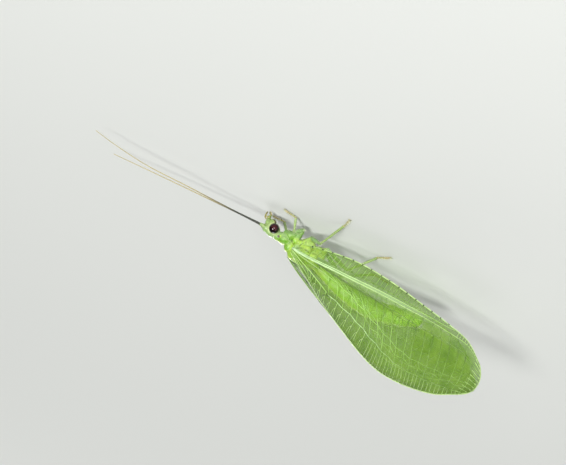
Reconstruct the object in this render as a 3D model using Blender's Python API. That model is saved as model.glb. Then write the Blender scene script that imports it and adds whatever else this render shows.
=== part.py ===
"""Green lacewing at rest, life size, on six feet with its four wings folded like a roof.

Frame: +X towards the head, +Z up, the animal's right side towards -Y, soles on z = 0.
Origin: on the floor, under the middle of the span from wing tips to feeler tips.
Sizes are in millimetres and each finished node is scaled to metres.
"""
import math

import bmesh
import bpy
from mathutils import Matrix, Vector

# Scale and place of the whole animal
MM = 0.001
ORIGIN_X = -1.47
EYE_GAP = 0.25
SIDES = {"right": -1.0, "left": 1.0}

# Wings
FOREWING_LENGTH = 18.0
HINDWING_LENGTH = 14.7
WING_THICKNESS = 0.5
VEIN_HEIGHT = 0.12
VEIN_HALF_WIDTH = 0.016
WING_LAYER = 1.13
WING_TILT = math.radians(10.2)
FOREWING_ROOT = (-1.64, 2.24)
HINDWING_ROOT = (-3.75, 2.3)
ROOF_FOOT = 1.6
ROOF_EDGE = 0.42
ROOF_HALF_WIDTH = [(-1.6, 1.42), (-3.8, 2.42), (-6.2, 2.92), (-9.5, 3.05), (-13.0, 2.8), (-19.6, 1.65)]
ROOF_RIDGE = [(-1.6, 2.95), (-2.9, 3.68), (-5.3, 4.97), (-10.2, 7.45), (-11.6, 7.98), (-13.6, 8.20),
              (-16.3, 7.84), (-18.2, 6.98), (-19.6, 5.9)]
FOREWING_HIND_EDGE = [(0.0, 0.42), (0.08, 1.05), (0.37, 2.82), (0.6, 3.92), (0.74, 3.82), (0.9, 2.95),
                      (1.0, 1.75)]
FOREWING_FRONT_EDGE = [(0.0, 0.3), (0.13, 0.80), (0.28, 1.38), (0.45, 1.64), (0.62, 1.68), (0.8, 1.74),
                       (0.9, 1.64), (1.0, 0.85)]
HINDWING_HIND_EDGE = [(0.0, 0.3), (0.15, 0.55), (0.4, 1.8), (0.62, 2.8), (0.78, 2.65), (0.92, 1.9),
                      (1.0, 1.15)]
HINDWING_FRONT_EDGE = [(0.0, 0.25), (0.12, 0.3), (0.4, 0.75), (0.7, 1.2), (0.85, 1.15), (0.94, 0.9),
                       (1.0, 0.55)]
FOREWING_TIP_BULGE = 0.85
HINDWING_TIP_BULGE = 0.6
WING_ROWS = 15
FOREWING_VEINS = [0.13, 0.24, 0.42, 0.6, 0.78]
HINDWING_VEINS = [0.16, 0.4, 0.72]

# Body
HEAD_RINGS = [
    (0.36, 2.12, 0.26, 0.30),
    (0.42, 1.98, 0.46, 0.52),
    (0.55, 1.66, 0.70, 0.66),
    (0.62, 1.34, 0.64, 0.66),
    (0.74, 1.02, 0.46, 0.54),
    (0.92, 0.70, 0.30, 0.40),
    (1.08, 0.42, 0.22, 0.27),
    (1.15, 0.28, 0.12, 0.14),
]
HEAD_SIDES = 16
EYE_CENTRE = (0.39, 1.48)
EYE_RADIUS = 0.40
EYE_BASE = 0.65
PROTHORAX = {"front": -0.42, "back": -1.22, "rise": (1.74, 1.84), "half": (0.60, 0.45)}
MESOTHORAX = {"front": -1.52, "back": -2.98, "rise": (2.10, 2.22), "half": (0.82, 0.84)}
METATHORAX = {"front": -3.28, "back": -4.30, "rise": (2.24, 2.42), "half": (0.60, 0.80)}
BODY_SIDES = 16
ABDOMEN_FRONT = -4.60
ABDOMEN_BACK = -13.40
ABDOMEN_RISE = [(-4.6, 2.75), (-6.3, 3.30), (-9.0, 3.75), (-11.1, 3.45), (-13.4, 2.85)]
ABDOMEN_HALF_WIDTH = [(-4.6, 0.42), (-6.2, 0.62), (-9.0, 0.74), (-11.5, 0.70), (-13.4, 0.36)]
ABDOMEN_DEEPER = 1.08
ABDOMEN_SEGMENTS = 9
SEGMENT_SWELL = 0.05

# Feelers
FEELER_THICKNESS = 0.5
FEELER_TIP_THICKNESS = 0.2
FEELER_RINGS = 20
FEELER_SIDES = 6
FEELER_ROOT = (1.49, 0.41, 1.56)
FEELER_COURSE = {
    "right": [(4.0, 0.55, 1.55), (8.0, 0.95, 1.52), (11.5, 1.35, 1.55), (14.4, 1.62, 1.25),
              (16.38, 1.78, 0.92)],
    "left": [(4.0, 0.55, 1.26), (8.0, 0.95, 1.12), (11.5, 1.35, 0.98), (14.46, 1.70, 0.90)],
}

# Legs: coxa top, coxa end, knee, ankle and tip of the foot, outward distances positive
LEG_THICKNESS = 0.5
COXA_RADIUS = 0.30
FOOT_AXIS_HEIGHT = 0.21
LEG_SIDES = 8
LEGS = {
    "leg_front_right": [(-1.05, 0.45, 1.02), (-1.66, 0.60, 0.58), (-1.15, 1.10, 1.10), (-0.80, 1.56, 0.30),
                        (0.20, 1.85)],
    "leg_front_left": [(-1.05, 0.45, 1.02), (-1.66, 0.58, 0.58), (-0.98, 1.05, 1.25), (-0.12, 0.64, 0.30),
                       (0.80, 0.84)],
    "leg_middle_right": [(-2.40, 0.46, 0.98), (-2.60, 0.56, 0.78), (-3.40, 1.98, 1.40), (-4.46, 4.95, 0.30),
                         (-4.62, 6.55)],
    "leg_middle_left": [(-2.40, 0.46, 0.98), (-2.60, 0.56, 0.78), (-3.10, 2.02, 1.40), (-3.75, 4.80, 0.30),
                        (-3.70, 6.35)],
    "leg_hind_right": [(-3.80, 0.46, 1.16), (-4.12, 0.50, 1.03), (-6.20, 1.03, 2.10), (-7.95, 1.35, 0.30),
                       (-8.80, 2.45)],
    "leg_hind_left": [(-3.80, 0.46, 1.16), (-4.12, 0.50, 1.03), (-6.05, 1.03, 2.10), (-8.35, 2.90, 0.30),
                      (-9.65, 3.55)],
}

# Finish of each kind of node: colour, roughness
LEAF_GREEN = ((0.36, 0.62, 0.12), 0.45)
PALE_GREEN = ((0.62, 0.76, 0.42), 0.45)
WING_GREEN = ((0.60, 0.74, 0.48), 0.30)
EYE_MAROON = ((0.05, 0.012, 0.015), 0.12)
STRAW = ((0.55, 0.50, 0.30), 0.50)


def clear_scene():
    for old in list(bpy.data.objects):
        bpy.data.objects.remove(old, do_unlink=True)


def finish_material(name, finish):
    """A Principled material with the node's colour and roughness."""
    colour, roughness = finish
    material = bpy.data.materials.new(name)
    material.use_nodes = True
    shader = material.node_tree.nodes["Principled BSDF"]
    shader.inputs["Base Color"].default_value = (*colour, 1.0)
    shader.inputs["Roughness"].default_value = roughness
    shader.inputs["Metallic"].default_value = 0.0
    return material


def through(stations, at):
    """Smooth value at a place along stations of (place, value), in either order."""
    points = sorted(stations)
    at = min(max(at, points[0][0]), points[-1][0])
    slopes = []
    for index in range(len(points)):
        before = points[max(index - 1, 0)]
        after = points[min(index + 1, len(points) - 1)]
        slopes.append((after[1] - before[1]) / (after[0] - before[0]))
    index = 0
    while index < len(points) - 2 and at > points[index + 1][0]:
        index += 1
    (x0, y0), (x1, y1) = points[index], points[index + 1]
    span = x1 - x0
    t = (at - x0) / span
    rise = y0 * (1 + 2 * t) * (1 - t) ** 2 + y1 * t * t * (3 - 2 * t)
    return rise + span * (slopes[index] * t * (1 - t) ** 2 - slopes[index + 1] * t * t * (1 - t))


def node_from(bm, name, finish):
    """The finished node: scaled to metres, moved over the origin, shaded smooth."""
    bm.transform(Matrix.Scale(MM, 4) @ Matrix.Translation((-ORIGIN_X, 0.0, 0.0)))
    bmesh.ops.recalc_face_normals(bm, faces=bm.faces)
    mesh = bpy.data.meshes.new(name)
    bm.to_mesh(mesh)
    bm.free()
    mesh.materials.append(finish_material(name, finish))
    mesh.shade_smooth()
    mesh.set_sharp_from_angle(angle=math.radians(50))
    node = bpy.data.objects.new(name, mesh)
    bpy.context.scene.collection.objects.link(node)
    return node


def add_ring(bm, centre, along, up, half_width, half_height, sides):
    """One elliptical loop of edges across the direction along, with a flat side up and down."""
    along = Vector(along).normalized()
    across = Vector(up).cross(along).normalized()
    upright = along.cross(across).normalized()
    frame = Matrix((across * half_width, upright * half_height, along)).transposed().to_4x4()
    frame.translation = Vector(centre)
    frame = frame @ Matrix.Rotation(math.pi / sides, 4, "Z")
    made = bmesh.ops.create_circle(bm, cap_ends=False, segments=sides, radius=1.0, matrix=frame)
    return list({edge for vert in made["verts"] for edge in vert.link_edges})


def close_rings(bm, loops):
    """Skin a run of loops and close both ends."""
    for front, back in zip(loops, loops[1:]):
        bmesh.ops.bridge_loops(bm, edges=front + back)
    bmesh.ops.holes_fill(bm, edges=bm.edges, sides=0)
    bmesh.ops.recalc_face_normals(bm, faces=bm.faces)


def limb(points, radii, sides):
    """A closed tapering tube along points, each ring across the mean direction there."""
    bm = bmesh.new()
    points = [Vector(point) for point in points]
    loops = []
    for index, point in enumerate(points):
        before = points[max(index - 1, 0)]
        after = points[min(index + 1, len(points) - 1)]
        incoming = (point - before).normalized()
        outgoing = (after - point).normalized()
        along = (incoming + outgoing).normalized()
        up = Vector((0.0, 0.0, 1.0)) if abs(along.z) < 0.8 else Vector((1.0, 0.0, 0.0))
        loops.append(add_ring(bm, point, along, up, radii[index], radii[index], sides))
    close_rings(bm, loops)
    return bm


def barrel(size, sides, rings=8, end_share=0.55):
    """A thorax ring: a barrel with flat ends, its middle line rising from front to back."""
    bm = bmesh.new()
    loops = []
    for index in range(rings):
        t = index / (rings - 1)
        share = end_share + (1.0 - end_share) * math.sin(math.pi * t) ** 0.7
        x = size["front"] + (size["back"] - size["front"]) * t
        z = size["rise"][0] + (size["rise"][1] - size["rise"][0]) * t
        half_width, half_height = size["half"]
        loops.append(add_ring(bm, (x, 0.0, z), (-1, 0, 0), (0, 0, 1), half_width * share,
                              half_height * share, sides))
    close_rings(bm, loops)
    return bm


def cut_with(body, cutter):
    """body with cutter taken away, both as bmesh; returns a new bmesh."""
    return solve([body, cutter], "DIFFERENCE")


def join(pieces):
    """One closed body from overlapping closed pieces."""
    return solve(pieces, "UNION")


def solve(pieces, operation):
    """Boolean of the first piece with all the others, kept to its largest closed surface."""
    others = bpy.data.collections.new("others")
    objects = []
    for bm in pieces:
        mesh = bpy.data.meshes.new("piece")
        bm.to_mesh(mesh)
        bm.free()
        objects.append(bpy.data.objects.new("piece", mesh))
    bpy.context.scene.collection.objects.link(objects[0])
    bpy.context.scene.collection.children.link(others)
    for piece in objects[1:]:
        others.objects.link(piece)
    boolean = objects[0].modifiers.new("join", "BOOLEAN")
    boolean.operation = operation
    boolean.operand_type = "COLLECTION"
    boolean.collection = others
    boolean.solver = "EXACT"
    evaluated = objects[0].evaluated_get(bpy.context.evaluated_depsgraph_get())
    result = bmesh.new()
    result.from_mesh(evaluated.to_mesh())
    evaluated.to_mesh_clear()
    for piece in objects:
        bpy.data.objects.remove(piece, do_unlink=True)
    bpy.data.collections.remove(others)
    keep_largest(result)
    return result


def keep_largest(bm):
    """Drop every connected surface but the one with the most faces."""
    left = set(bm.faces)
    surfaces = []
    while left:
        surface = set()
        edge_of = [left.pop()]
        while edge_of:
            face = edge_of.pop()
            surface.add(face)
            for edge in face.edges:
                for other in edge.link_faces:
                    if other in left:
                        left.discard(other)
                        edge_of.append(other)
        surfaces.append(surface)
    surfaces.sort(key=len)
    dropped = [face for surface in surfaces[:-1] for face in surface]
    bmesh.ops.delete(bm, geom=dropped, context="FACES")


def roof(x, z, layer):
    """Distance of a wing's middle surface from the animal's middle plane."""
    ridge = through(ROOF_RIDGE, x) - layer
    share = min(max((z - ROOF_FOOT) / (ridge - ROOF_FOOT), 0.0), 1.0)
    half_width = through(ROOF_HALF_WIDTH, x) - layer
    return ROOF_EDGE + (half_width - ROOF_EDGE) * math.sqrt(1.0 - share * share)


def wing_columns(veins):
    """Places across a wing, 0 at its front edge and 1 at its hind edge, each with its ridge height."""
    columns = {0.0: VEIN_HEIGHT, 1.0: VEIN_HEIGHT, 0.03: 0.0, 0.97: 0.0}
    for vein in veins:
        columns[vein] = VEIN_HEIGHT
        columns[vein - 2 * VEIN_HALF_WIDTH] = 0.0
        columns[vein + 2 * VEIN_HALF_WIDTH] = 0.0
    return sorted(columns.items())


def wing(side, root, length, front_edge, hind_edge, tip_bulge, veins, layer):
    """A bowed sheet with its veins raised on the outer face, both faces split alike."""
    columns = wing_columns(veins)
    backward = Vector((-math.cos(WING_TILT), math.sin(WING_TILT)))
    upward = Vector((math.sin(WING_TILT), math.cos(WING_TILT)))

    def middle(s, t):
        across = through(hind_edge, s) * t - through(front_edge, s) * (1.0 - t)
        along = s * (length - tip_bulge + tip_bulge * 4.0 * t * (1.0 - t))
        x, z = Vector(root) + backward * along + upward * across
        return Vector((x, SIDES[side] * roof(x, z, layer), z))

    def normal(s, t):
        step = 0.01
        across = middle(s, min(t + step, 1.0)) - middle(s, max(t - step, 0.0))
        along = middle(min(s + step, 1.0), t) - middle(max(s - step, 0.0), t)
        out = across.cross(along).normalized()
        return out if out.y * SIDES[side] > 0 else -out

    bm = bmesh.new()
    bmesh.ops.create_grid(bm, x_segments=WING_ROWS, y_segments=len(columns) - 1, size=0.5)
    bmesh.ops.triangulate(bm, faces=bm.faces)
    place = {}
    for vert in bm.verts:
        row = round((vert.co.x + 0.5) * WING_ROWS)
        column = round((vert.co.y + 0.5) * (len(columns) - 1))
        place[vert] = (math.sin(0.5 * math.pi * row / WING_ROWS) ** 1.15, columns[column])
    made = bmesh.ops.duplicate(bm, geom=bm.verts[:] + bm.edges[:] + bm.faces[:])
    outer_of = {vert: made["vert_map"][vert] for vert in place}
    for vert, (s, (t, height)) in place.items():
        centre = middle(s, t)
        out = normal(s, t)
        vert.co = centre - out * (0.5 * WING_THICKNESS)
        outer_of[vert].co = centre + out * (0.5 * WING_THICKNESS + height)
    rim = [edge for edge in bm.edges if edge.is_boundary]
    bmesh.ops.bridge_loops(bm, edges=rim)
    bmesh.ops.recalc_face_normals(bm, faces=bm.faces)
    return bm


def head():
    """Head capsule from crown to mouth, with a flat socket under each eye."""
    bm = bmesh.new()
    loops = []
    centres = [Vector((x, 0.0, z)) for x, z, _, _ in HEAD_RINGS]
    for index, (_, _, half_length, half_width) in enumerate(HEAD_RINGS):
        before = centres[max(index - 1, 0)]
        after = centres[min(index + 1, len(centres) - 1)]
        loops.append(add_ring(bm, centres[index], after - before, (1, 0, 0), half_width, half_length,
                              HEAD_SIDES))
    close_rings(bm, loops)
    for sign in SIDES.values():
        inner = EYE_BASE - EYE_GAP
        depth = 1.0
        centre = (EYE_CENTRE[0], sign * (inner + 0.5 * depth), EYE_CENTRE[1])
        frame = Matrix.Translation(centre) @ Matrix.Rotation(math.pi / 2, 4, "X")
        cutter = bmesh.new()
        bmesh.ops.create_cone(cutter, cap_ends=True, segments=16, radius1=EYE_RADIUS + EYE_GAP,
                              radius2=EYE_RADIUS + EYE_GAP, depth=depth, matrix=frame)
        bm = cut_with(bm, cutter)
    return bm


def eye(side):
    """A dome that sits over its socket on the side of the head."""
    sign = SIDES[side]
    bm = bmesh.new()
    centre = Vector((EYE_CENTRE[0], sign * (EYE_BASE - 0.03), EYE_CENTRE[1]))
    turn = Matrix.Rotation(math.pi / 2, 4, "X")
    bmesh.ops.create_uvsphere(bm, u_segments=16, v_segments=12, radius=EYE_RADIUS,
                              matrix=Matrix.Translation(centre) @ turn)
    cut = bmesh.ops.bisect_plane(bm, geom=bm.verts[:] + bm.edges[:] + bm.faces[:], dist=1e-5,
                                 plane_co=(0, sign * EYE_BASE, 0), plane_no=(0, sign, 0), clear_inner=True)
    edges = [piece for piece in cut["geom_cut"] if isinstance(piece, bmesh.types.BMEdge)]
    bmesh.ops.holes_fill(bm, edges=edges, sides=0)
    return bm


def abdomen():
    """Nine rings of flesh on a bowed middle line, each a little swollen."""
    bm = bmesh.new()
    loops = []
    steps = 2 * ABDOMEN_SEGMENTS
    for index in range(steps + 1):
        t = index / steps
        x = ABDOMEN_FRONT + (ABDOMEN_BACK - ABDOMEN_FRONT) * t
        slope = through(ABDOMEN_RISE, x - 0.2) - through(ABDOMEN_RISE, x + 0.2)
        swell = 1.0 + SEGMENT_SWELL * (index % 2)
        half_width = through(ABDOMEN_HALF_WIDTH, x) * swell
        centre = (x, 0.0, through(ABDOMEN_RISE, x))
        loops.append(add_ring(bm, centre, (-0.4, 0, slope), (0, 0, 1), half_width,
                              half_width * ABDOMEN_DEEPER, BODY_SIDES))
    close_rings(bm, loops)
    return bm


def feeler(side):
    """A bare feeler from its socket on the brow to its thin tip."""
    sign = SIDES[side]
    stations = [FEELER_ROOT] + FEELER_COURSE[side]
    points = []
    radii = []
    reach = stations[-1][0] - stations[0][0]
    for index in range(FEELER_RINGS):
        t = index / (FEELER_RINGS - 1)
        x = stations[0][0] + reach * t
        y = through([(p[0], p[1]) for p in stations], x)
        z = through([(p[0], p[2]) for p in stations], x)
        points.append((x, sign * y, z))
        taper = max(0.0, (t - 0.7) / 0.3)
        radii.append(0.5 * (FEELER_THICKNESS + (FEELER_TIP_THICKNESS - FEELER_THICKNESS) * taper))
    return limb(points, radii, FEELER_SIDES)


def leg(name):
    """Coxa, thigh, shank and foot in one body, the foot flat on the floor."""
    sign = SIDES[name.rsplit("_", 1)[1]]
    places = LEGS[name][:-1] + [(*LEGS[name][-1], FOOT_AXIS_HEIGHT)]
    top, bottom, knee, ankle, tip = [Vector((x, sign * y, z)) for x, y, z in places]
    radius = 0.5 * LEG_THICKNESS
    heel = ankle + (tip - ankle) * 0.12
    heel.z = FOOT_AXIS_HEIGHT
    coxa = limb([top, bottom], [COXA_RADIUS, COXA_RADIUS * 0.9], LEG_SIDES)
    thigh = limb([bottom + (bottom - knee) * 0.04, bottom.lerp(knee, 0.5), knee,
                  knee + (knee - bottom) * 0.03],
                 [radius, radius * 1.1, radius, radius * 0.6], LEG_SIDES)
    shank = limb([knee + (knee - ankle) * 0.02, knee.lerp(ankle, 0.05), ankle, heel, heel.lerp(tip, 0.6),
                  tip],
                 [radius * 0.7, radius, radius, radius, radius, radius * 0.6], LEG_SIDES)
    bm = join([coxa, thigh, shank])
    for vert in bm.verts:
        vert.co.z = max(vert.co.z, 0.0)
    return bm


def build():
    clear_scene()
    node_from(head(), "head", PALE_GREEN)
    node_from(barrel(PROTHORAX, BODY_SIDES), "prothorax", LEAF_GREEN)
    node_from(barrel(MESOTHORAX, BODY_SIDES), "mesothorax", LEAF_GREEN)
    node_from(barrel(METATHORAX, BODY_SIDES), "metathorax", LEAF_GREEN)
    node_from(abdomen(), "abdomen", LEAF_GREEN)
    for side in SIDES:
        node_from(eye(side), f"eye_{side}", EYE_MAROON)
        node_from(feeler(side), f"antenna_{side}", STRAW)
        fore = wing(side, FOREWING_ROOT, FOREWING_LENGTH, FOREWING_FRONT_EDGE, FOREWING_HIND_EDGE,
                    FOREWING_TIP_BULGE, FOREWING_VEINS, 0.0)
        node_from(fore, f"forewing_{side}", WING_GREEN)
        hind = wing(side, HINDWING_ROOT, HINDWING_LENGTH, HINDWING_FRONT_EDGE, HINDWING_HIND_EDGE,
                    HINDWING_TIP_BULGE, HINDWING_VEINS, WING_LAYER)
        node_from(hind, f"hindwing_{side}", WING_GREEN)
    for name in LEGS:
        node_from(leg(name), name, PALE_GREEN)


build()
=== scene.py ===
"""Looks of a green lacewing at rest: skin, eyes, feelers, legs and four veined wings.

The animal's own places are given in millimetres, with x = 0 near the eyes, +X towards the
head, +Z up and the right side towards -Y. Each finished mesh is moved by PLACE into the
frame, in metres, where the floor is z = 0.
"""
import math
import random

import bmesh
import bpy
import numpy as np
from mathutils import Matrix, Vector


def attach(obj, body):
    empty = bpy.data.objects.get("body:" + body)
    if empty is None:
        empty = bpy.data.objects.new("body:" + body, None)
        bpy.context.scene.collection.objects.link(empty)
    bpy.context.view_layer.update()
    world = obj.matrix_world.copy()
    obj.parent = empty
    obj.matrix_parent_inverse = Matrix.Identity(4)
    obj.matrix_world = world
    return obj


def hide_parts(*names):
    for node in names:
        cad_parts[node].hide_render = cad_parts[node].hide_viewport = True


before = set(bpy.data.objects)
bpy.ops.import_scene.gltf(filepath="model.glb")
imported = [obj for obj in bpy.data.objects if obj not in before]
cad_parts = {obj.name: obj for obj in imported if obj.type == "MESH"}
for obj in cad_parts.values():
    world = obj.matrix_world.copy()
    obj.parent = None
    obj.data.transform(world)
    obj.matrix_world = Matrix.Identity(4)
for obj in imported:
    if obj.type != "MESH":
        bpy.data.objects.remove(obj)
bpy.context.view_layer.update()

# Scale and place
MM = 0.001
ORIGIN_X = -1.47
PLACE = Matrix.Scale(MM, 4) @ Matrix.Translation((-ORIGIN_X, 0.0, 0.0))
SIDES = {"right": -1.0, "left": 1.0}

# Camera: rolled so that the animal's head is up to the left and its back is to the lower left
VIEW_ELEVATION = math.radians(18.0)
VIEW_BACKWARD = (0.901, -0.434)
VIEW_CENTRE = (-0.39, 0.0, 1.23)
VIEW_WIDTH = 44.57
VIEW_DISTANCE = 300.0
SENSOR_WIDTH = 36.0

# Wings, bowed like a roof over the body
WING_TILT = math.radians(10.2)
ROOF_FOOT = 1.6
ROOF_EDGE = 0.035
ROOF_HALF_WIDTH = [(-1.6, 1.42), (-3.8, 2.42), (-6.2, 2.92), (-9.5, 3.05), (-13.0, 2.8),
                   (-19.6, 1.65)]
ROOF_RIDGE = [(-1.6, 2.95), (-2.9, 3.68), (-5.3, 4.97), (-10.2, 7.45), (-11.6, 7.98), (-13.6, 8.2),
              (-16.3, 7.8), (-17.2, 7.38), (-18.2, 6.88), (-19.6, 5.9)]
# Root (x, z), length, bulge of the tip, depth under the roof, and how far each edge stands
# from the wing's middle line, by share of the length
WING_SHAPES = {
    "forewing": {
        "root": (-1.64, 2.24), "length": 18.0, "bulge": 0.85, "layer": 0.0,
        "front_edge": [(0.0, 0.3), (0.13, 0.8), (0.28, 1.38), (0.45, 1.64), (0.62, 1.68),
                       (0.8, 1.74), (0.9, 1.64), (1.0, 0.85)],
        "hind_edge": [(0.0, 0.42), (0.08, 1.05), (0.37, 2.82), (0.6, 3.92), (0.74, 3.82),
                      (0.9, 2.95), (1.0, 1.75)],
    },
    "hindwing": {
        "root": (-3.75, 2.3), "length": 14.7, "bulge": 0.6, "layer": 0.75,
        "front_edge": [(0.0, 0.25), (0.12, 0.3), (0.4, 0.75), (0.7, 1.2), (0.85, 1.15),
                       (0.94, 0.9), (1.0, 0.55)],
        "hind_edge": [(0.0, 0.3), (0.15, 0.55), (0.4, 1.8), (0.62, 2.8), (0.78, 2.65),
                      (0.92, 1.9), (1.0, 1.15)],
    },
}
MEMBRANE_THICKNESS = 0.015
RADIUS_FOLD = 0.07
LESSER_FOLD = 0.03
FOLD_WIDTH = 0.035
MEAN_WING_DEPTH = 5.0
VEIN_STEP = 0.3
FILM_ROWS = 72
FILM_COLUMNS = 40
FILM_COVER = {"forewing": 0.44, "hindwing": 0.06}
FRONT_FRINGE = 150
HIND_FRINGE = 190
FRINGE_LENGTH = 0.16
FRINGE_SPREAD = 0.06

# Body
ABDOMEN_FRONT = -4.3
ABDOMEN_BACK = -13.36
ABDOMEN_RISE = [(-4.3, 2.62), (-6.3, 3.3), (-9.0, 3.75), (-11.1, 3.45), (-13.4, 2.85)]
ABDOMEN_HALF_WIDTH = [(-4.3, 0.4), (-6.2, 0.6), (-9.0, 0.73), (-11.2, 0.69), (-12.3, 0.6),
                      (-12.9, 0.46), (-13.2, 0.3), (-13.36, 0.1)]
ABDOMEN_SEGMENTS = 9
LOOPS_IN_SEGMENT = 10
SKIN_VOXEL = 0.035
SKIN_SMOOTHING = 5
EYE_CENTRE = (0.38, 0.53, 1.42)
EYE_RADIUS = 0.405
BODY_BRISTLES = 1500
BODY_BRISTLE_LENGTH = 0.2
LEG_BRISTLES = 420
LEG_BRISTLE_LENGTH = 0.13
BRISTLES_BEHIND = 0.75
FLOOR_GAP = 0.004
BRISTLE_FLOOR_GAP = 0.02

# The body unrolled, on which each bristle has a small patch in its OFBake map
MAP_PATCH = 0.003
MAP_BACK = -20.0
MAP_LENGTH = 38.0
MAP_AXIS_HEIGHT = 2.5
MAP_WRAP = 0.9

# Seeds of the random draws
BODY_SEED = 7
VEIN_SEED = 20
FRINGE_SEED = 40
LEG_SEED = 60

# Colours, linear
LEAF_GREEN = (0.108, 0.27, 0.016)
YELLOW_GREEN = (0.37, 0.55, 0.07)
PALE_GREEN = (0.215, 0.345, 0.13)
# the front hips' pale green darkened as painted shade
HIP_SHADE_GREEN = (0.14, 0.265, 0.058)
CREAM_GREEN = (0.225, 0.318, 0.1)
ABDOMEN_GREEN = (0.28, 0.56, 0.05)
# dark joint rings of the legs, and painted shade in the skin's grooves
JOINT_AND_GROOVE_SHADE = (0.12, 0.2, 0.02)
# lighter green painted as light on the abdomen's tapering end
TAIL_PAINTED_LIGHT = (0.38, 0.66, 0.1)
FLANK_YELLOW = (0.52, 0.7, 0.15)
STRIPE_YELLOW = (0.6, 0.68, 0.12)
EYE_RIM = (0.46, 0.52, 0.24)
# maroon glow painted on the eye's dome
EYE_PAINTED_GLOW = (0.042, 0.002, 0.005)
EYE_BLACK = (0.0018, 0.0001, 0.0002)
PALP_OLIVE = (0.34, 0.3, 0.1)
MOUTH_BROWN = (0.22, 0.12, 0.05)
# the thorax's yellow-green darkened as painted shade, for low on the mid and hind thorax
LOW_THORAX_SHADE = (0.29, 0.43, 0.09)
MARK_BROWN = (0.05, 0.022, 0.01)
FOOT_BROWN = (0.4, 0.27, 0.11)
STRAW = (0.33, 0.28, 0.13)
FEELER_DARK = (0.016, 0.02, 0.008)
VEIN_WHITE = (0.4, 0.57, 0.29)
VEIN_PALE = (0.42, 0.6, 0.26)
VEIN_SOFT = (0.165, 0.285, 0.055)
VEIN_SHADE = (0.09, 0.15, 0.03)
HAIR_PALE = (0.62, 0.66, 0.45)
VEIN_GREEN = (0.26, 0.44, 0.1)
VEIN_EDGE = (0.35, 0.49, 0.18)
VEIN_DARK = (0.02, 0.04, 0.008)
FILM_LIGHT = (0.125, 0.22, 0.024)
FILM_DEEP = (0.075, 0.155, 0.012)
FLOOR_GREY = (0.54, 0.55, 0.525)
STUDIO_AIR = (0.9, 0.93, 0.95)


def blend_tint(low, high, share):
    share = min(max(share, 0.0), 1.0)
    return tuple(a + (b - a) * share for a, b in zip(low, high))


def smooth_step(low, high, value):
    """0 below low, 1 above high, eased between; value may be an array."""
    t = np.clip((value - low) / (high - low), 0.0, 1.0)
    return t * t * (3.0 - 2.0 * t)


def hump(value, centre, width):
    """1 at the centre, fading out past the width; value may be an array."""
    return np.exp(-((value - centre) / width) ** 2)


def through(stations, at):
    """Smooth value at a place along stations of (place, value), in either order."""
    points = sorted(stations)
    at = min(max(at, points[0][0]), points[-1][0])
    slopes = []
    for index in range(len(points)):
        before = points[max(index - 1, 0)]
        after = points[min(index + 1, len(points) - 1)]
        slopes.append((after[1] - before[1]) / (after[0] - before[0]))
    index = 0
    while index < len(points) - 2 and at > points[index + 1][0]:
        index += 1
    (x0, y0), (x1, y1) = points[index], points[index + 1]
    span = x1 - x0
    t = (at - x0) / span
    rise = y0 * (1 + 2 * t) * (1 - t) ** 2 + y1 * t * t * (3 - 2 * t)
    return rise + span * (slopes[index] * t * (1 - t) ** 2 - slopes[index + 1] * t * t * (1 - t))


def curve_through(points, steps):
    """Points along a smooth curve through the given ones, steps for each stretch."""
    points = [Vector(point) for point in points]
    padded = [2 * points[0] - points[1]] + points + [2 * points[-1] - points[-2]]
    course = []
    for index in range(1, len(padded) - 2):
        a, b, c, d = padded[index - 1:index + 3]
        for step in range(steps):
            t = step / steps
            course.append(0.5 * (2 * b + (c - a) * t + (2 * a - 5 * b + 4 * c - d) * t * t
                                 + (3 * b - a - 3 * c + d) * t ** 3))
    return course + [points[-1]]


# Materials

def feed(owner, node, sockets):
    """Give each socket of a node its value, or wire another node's output into it."""
    for name, value in sockets.items():
        if isinstance(value, bpy.types.NodeSocket):
            owner.node_tree.links.new(value, node.inputs[name])
        else:
            node.inputs[name].default_value = value


def new_material(name, colour, roughness):
    """A Principled material, with its shader."""
    material = bpy.data.materials.new(name)
    material.use_nodes = True
    shader = material.node_tree.nodes["Principled BSDF"]
    feed(material, shader, {"Base Color": (*colour, 1.0), "Roughness": roughness})
    return material, shader


def add_node(material, kind, sockets, **values):
    """A node with its settings and sockets."""
    node = material.node_tree.nodes.new(kind)
    for name, value in values.items():
        setattr(node, name, value)
    feed(material, node, sockets)
    return node


def own_place(material):
    """The piece's own coordinates, in metres."""
    return add_node(material, "ShaderNodeTexCoord", {}).outputs["Object"]


def attribute(material, name):
    return add_node(material, "ShaderNodeAttribute", {}, attribute_name=name)


def add_noise(material, scale, detail=4.0):
    noise = add_node(material, "ShaderNodeTexNoise",
                     {"Vector": own_place(material), "Scale": scale, "Detail": detail})
    return noise.outputs["Fac"]


def add_bump(material, shader, height, strength, distance):
    bump = add_node(material, "ShaderNodeBump",
                    {"Height": height, "Strength": strength, "Distance": distance})
    feed(material, shader, {"Normal": bump.outputs["Normal"]})


def add_ramp(material, source, low, high, low_at=0.0, high_at=1.0):
    """A colour that runs from low to high as source rises between the two places."""
    ramp = add_node(material, "ShaderNodeValToRGB", {"Fac": source})
    for stop, colour, place in zip(ramp.color_ramp.elements, (low, high), (low_at, high_at)):
        stop.color = (*colour, 1.0)
        stop.position = place
    return ramp.outputs["Color"]


def mottled(material, shader, source, scale, low, high):
    """Colour from source, made darker and lighter by noise between two factors."""
    spread = add_node(material, "ShaderNodeMapRange",
                      {"Value": add_noise(material, scale), "From Min": 0.3, "From Max": 0.7,
                       "To Min": low, "To Max": high})
    scaled = add_node(material, "ShaderNodeVectorMath",
                      {0: source, "Scale": spread.outputs["Result"]}, operation="SCALE")
    feed(material, shader, {"Base Color": scaled.outputs["Vector"]})


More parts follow.
